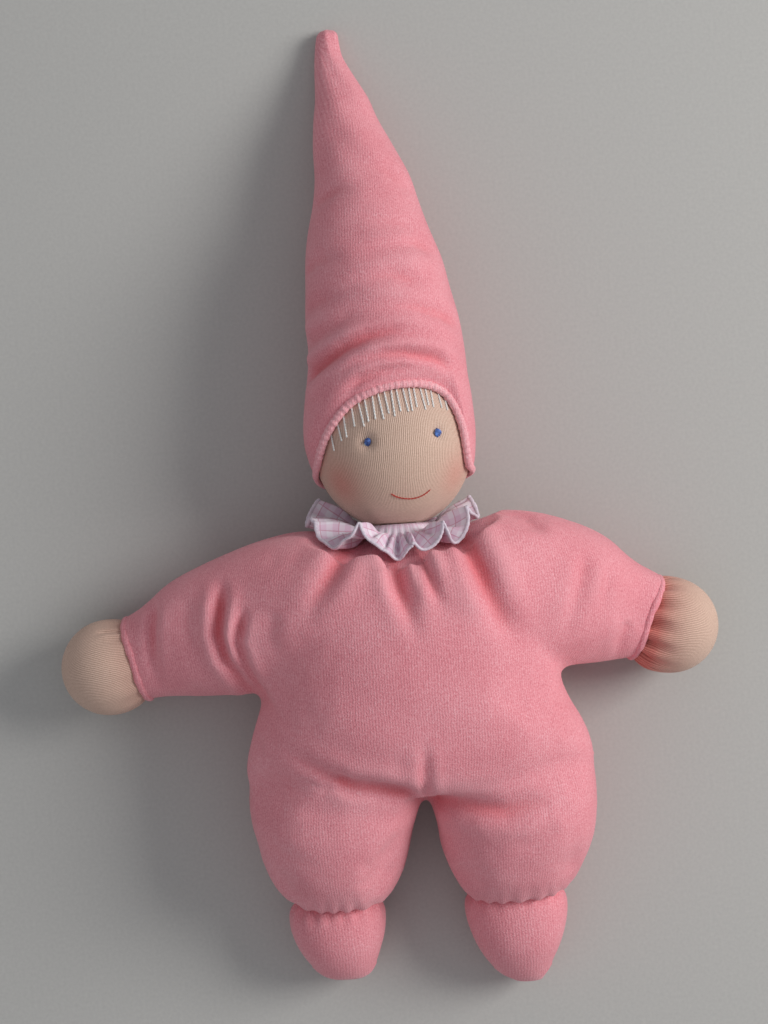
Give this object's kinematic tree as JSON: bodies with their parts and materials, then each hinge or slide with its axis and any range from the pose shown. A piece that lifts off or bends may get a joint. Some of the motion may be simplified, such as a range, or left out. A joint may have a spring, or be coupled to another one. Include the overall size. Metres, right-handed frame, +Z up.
{
  "type": "doll",
  "caption": "Soft stuffed cuddle doll lying on its back: velour suit with short arms and legs, knitted head and hands, gathered collar and a tall pointed cap.",
  "frame": {"origin": "middle of the footprint on the surface that the doll lies on", "axes": "+Y from the feet to the tip of the cap, +Z up from the doll's back to its face, +X to the right as it is looked at from above"},
  "size_m": [0.2726, 0.4028, 0.0756],
  "materials": {
    "velour": "soft pile",
    "tricot": "fine knit",
    "wool": "loose fleece",
    "gingham": "woven check",
    "thread": "cotton thread",
    "blue_thread": "embroidery thread",
    "red_thread": "embroidery thread"
  },
  "bodies": {
    "torso": {"suit_body": "velour", "body_filling": "wool", "collar": "gingham", "collar_thread": "thread"},
    "neck": {"neck_roll": "wool"},
    "head": {"head_skin": "tricot", "head_filling": "wool", "eye_line_thread": "thread", "chin_thread": "thread", "left_eye": "blue_thread", "right_eye": "blue_thread", "mouth": "red_thread", "hair_stitch_01": "thread", "hair_stitch_02": "thread", "hair_stitch_03": "thread", "hair_stitch_04": "thread", "hair_stitch_05": "thread", "hair_stitch_06": "thread", "hair_stitch_07": "thread", "hair_stitch_08": "thread", "hair_stitch_09": "thread", "hair_stitch_10": "thread", "hair_stitch_11": "thread", "hair_stitch_12": "thread", "hair_stitch_13": "thread", "hair_stitch_14": "thread", "hair_stitch_15": "thread", "hair_stitch_16": "thread", "hair_stitch_17": "thread", "hair_stitch_18": "thread", "hair_stitch_19": "thread", "cap": "velour", "cap_filling": "wool"},
    "left_arm": {"left_sleeve": "velour", "left_arm_filling": "wool"},
    "left_hand": {"left_hand_skin": "tricot", "left_hand_filling": "wool", "left_wrist_tie": "thread"},
    "left_leg": {"left_trouser_leg": "velour", "left_leg_filling": "wool"},
    "left_foot": {"left_foot": "velour", "left_foot_filling": "wool", "left_ankle_tie": "thread"},
    "right_arm": {"right_sleeve": "velour", "right_arm_filling": "wool"},
    "right_hand": {"right_hand_skin": "tricot", "right_hand_filling": "wool", "right_wrist_tie": "thread"},
    "right_leg": {"right_trouser_leg": "velour", "right_leg_filling": "wool"},
    "right_foot": {"right_foot": "velour", "right_foot_filling": "wool", "right_ankle_tie": "thread"}
  },
  "joints": [
    {"name": "neck_turn", "type": "hinge", "parent": "torso", "child": "neck", "pos_m": [0.00689, -0.00861, 0.036], "axis": [0, 1, 0], "range_deg": [-45, 45], "stiffness_Nm_per_rad": 0.12},
    {"name": "neck_nod", "type": "hinge", "parent": "neck", "child": "head", "pos_m": [0.00689, -0.00861, 0.036], "axis": [1, 0, 0], "range_deg": [-20, 20], "stiffness_Nm_per_rad": 0.3, "deforming": ["collar"]},
    {"name": "left_shoulder_fold", "type": "hinge", "parent": "torso", "child": "left_arm", "pos_m": [-0.05511, -0.044, 0.05747], "axis": [0, 1, 0], "range_deg": [0, 90], "stiffness_Nm_per_rad": 0.02},
    {"name": "right_shoulder_fold", "type": "hinge", "parent": "torso", "child": "right_arm", "pos_m": [0.06889, -0.042, 0.05708], "axis": [0, -1, 0], "range_deg": [0, 90], "stiffness_Nm_per_rad": 0.02},
    {"name": "left_wrist_swing", "type": "hinge", "parent": "left_arm", "child": "left_hand", "pos_m": [-0.09707, -0.05548, 0.0193], "axis": [-0.1392, 0.9903, 0], "range_deg": [-12, 12], "stiffness_Nm_per_rad": 0.02},
    {"name": "right_wrist_swing", "type": "hinge", "parent": "right_arm", "child": "right_hand", "pos_m": [0.09746, -0.05271, 0.0193], "axis": [-0.225, -0.9744, 0], "range_deg": [-12, 12], "stiffness_Nm_per_rad": 0.02},
    {"name": "left_hip_fold", "type": "hinge", "parent": "torso", "child": "left_leg", "pos_m": [-0.02611, -0.11461, 0.06108], "axis": [-1, 0, 0], "range_deg": [0, 90], "stiffness_Nm_per_rad": 0.02},
    {"name": "right_hip_fold", "type": "hinge", "parent": "torso", "child": "right_leg", "pos_m": [0.04429, -0.11461, 0.06108], "axis": [-1, 0, 0], "range_deg": [0, 90], "stiffness_Nm_per_rad": 0.02},
    {"name": "left_ankle_swing", "type": "hinge", "parent": "left_leg", "child": "left_foot", "pos_m": [-0.02861, -0.15862, 0.018], "axis": [-1, 0, 0], "range_deg": [-15, 15], "stiffness_Nm_per_rad": 0.02},
    {"name": "right_ankle_swing", "type": "hinge", "parent": "right_leg", "child": "right_foot", "pos_m": [0.04429, -0.15862, 0.018], "axis": [-1, 0, 0], "range_deg": [-15, 15], "stiffness_Nm_per_rad": 0.02}
  ]
}
